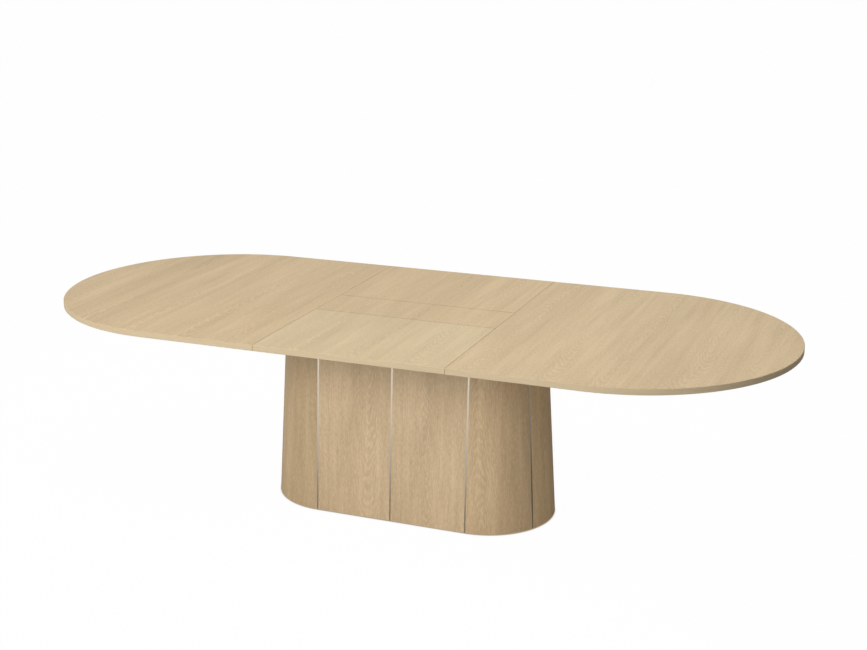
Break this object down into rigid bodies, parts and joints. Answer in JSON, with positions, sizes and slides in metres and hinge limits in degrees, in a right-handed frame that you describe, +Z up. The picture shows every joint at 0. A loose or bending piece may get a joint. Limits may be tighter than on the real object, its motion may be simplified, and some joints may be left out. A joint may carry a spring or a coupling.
{
  "type": "extending dining table",
  "caption": "Extending dining table with a stadium-shaped oak top, a folding butterfly leaf and a hollow tapered oak pedestal inlaid with steel bars.",
  "frame": {"origin": "on the floor, under the centre of the opened top", "axes": "+X along the table to the right end in the picture, -Y to its front, +Z up"},
  "size_m": [2.8, 1.2, 0.735],
  "materials": {
    "oak_top": "satin lacquered oak veneer",
    "oak_pedestal": "satin lacquered oak veneer",
    "inlay_steel": "brushed",
    "plywood": "raw plywood",
    "beech": "oiled beech",
    "black_steel": "black powder coat",
    "bright_steel": "ground",
    "black_nylon": "matt",
    "felt": "felt",
    "glide_plastic": "matt",
    "hinge_brass": "satin"
  },
  "bodies": {
    "pedestal": {"front_left_panel": "oak_pedestal", "front_right_panel": "oak_pedestal", "back_left_panel": "oak_pedestal", "back_right_panel": "oak_pedestal", "left_end_front_panel": "oak_pedestal", "left_end_middle_panel": "oak_pedestal", "left_end_back_panel": "oak_pedestal", "right_end_front_panel": "oak_pedestal", "right_end_middle_panel": "oak_pedestal", "right_end_back_panel": "oak_pedestal", "front_inlays": "inlay_steel", "back_inlays": "inlay_steel", "left_end_inlays": "inlay_steel", "right_end_inlays": "inlay_steel", "base_plate": "plywood", "left_former": "plywood", "right_former": "plywood", "front_rim_bar": "plywood", "back_rim_bar": "plywood", "ballast_plate": "black_steel", "floor_glides": "glide_plastic", "left_arm": "beech", "right_arm": "beech", "front_rail": "black_steel", "back_rail": "black_steel", "front_pinion_pin": "bright_steel", "back_pinion_pin": "bright_steel", "left_post": "bright_steel", "right_post": "bright_steel", "front_left_pad": "felt", "front_right_pad": "felt", "back_left_pad": "felt", "back_right_pad": "felt"},
    "right_half": {"right_top": "oak_top", "right_front_runner": "bright_steel", "right_back_runner": "bright_steel", "right_front_tongue": "beech", "right_back_tongue": "beech"},
    "left_half": {"left_top": "oak_top", "left_front_runner": "bright_steel", "left_back_runner": "bright_steel", "left_front_tongue": "beech", "left_back_tongue": "beech"},
    "front_gear": {"front_pinion": "black_nylon"},
    "back_gear": {"back_pinion": "black_nylon"},
    "leaf_centre": {"leaf_strip": "oak_top", "strip_hinges": "hinge_brass", "leaf_carriage": "plywood", "left_hanger": "black_steel", "right_hanger": "black_steel", "left_guide": "black_nylon", "right_guide": "black_nylon"},
    "front_leaf": {"front_wing": "oak_top", "front_wing_hinges": "hinge_brass"},
    "back_leaf": {"back_wing": "oak_top", "back_wing_hinges": "hinge_brass"}
  },
  "joints": [
    {"name": "top_slide", "type": "slide", "parent": "pedestal", "child": "right_half", "axis": [1, 0, 0], "range_m": [0, 0.03]},
    {"name": "left_top_slide", "type": "slide", "parent": "pedestal", "child": "left_half", "axis": [-1, 0, 0], "range_m": [0, 0.03]},
    {"name": "front_pinion_turn", "type": "hinge", "parent": "pedestal", "child": "front_gear", "pos_m": [0, -0.315, 0.692], "axis": [0, 0, 1], "range_deg": [-81, 0]},
    {"name": "back_pinion_turn", "type": "hinge", "parent": "pedestal", "child": "back_gear", "pos_m": [0, 0.315, 0.692], "axis": [0, 0, 1], "range_deg": [0, 81]},
    {"name": "leaf_lift", "type": "slide", "parent": "pedestal", "child": "leaf_centre", "axis": [0, 0, 1], "range_m": [-0.25, 0]},
    {"name": "front_leaf_fold", "type": "hinge", "parent": "leaf_centre", "child": "front_leaf", "pos_m": [0, -0.108, 0.735], "axis": [-1, 0, 0], "range_deg": [0, 90]},
    {"name": "back_leaf_fold", "type": "hinge", "parent": "leaf_centre", "child": "back_leaf", "pos_m": [0, 0.108, 0.735], "axis": [1, 0, 0], "range_deg": [0, 90]}
  ],
  "couplings": [
    {"joint": "left_top_slide", "follows": "top_slide", "ratio": 1},
    {"joint": "front_pinion_turn", "follows": "top_slide", "rad_per_m": -47.059},
    {"joint": "back_pinion_turn", "follows": "top_slide", "rad_per_m": 47.059},
    {"joint": "front_leaf_fold", "follows": "leaf_lift", "rad_per_m": -6.2832},
    {"joint": "back_leaf_fold", "follows": "leaf_lift", "rad_per_m": -6.2832}
  ]
}
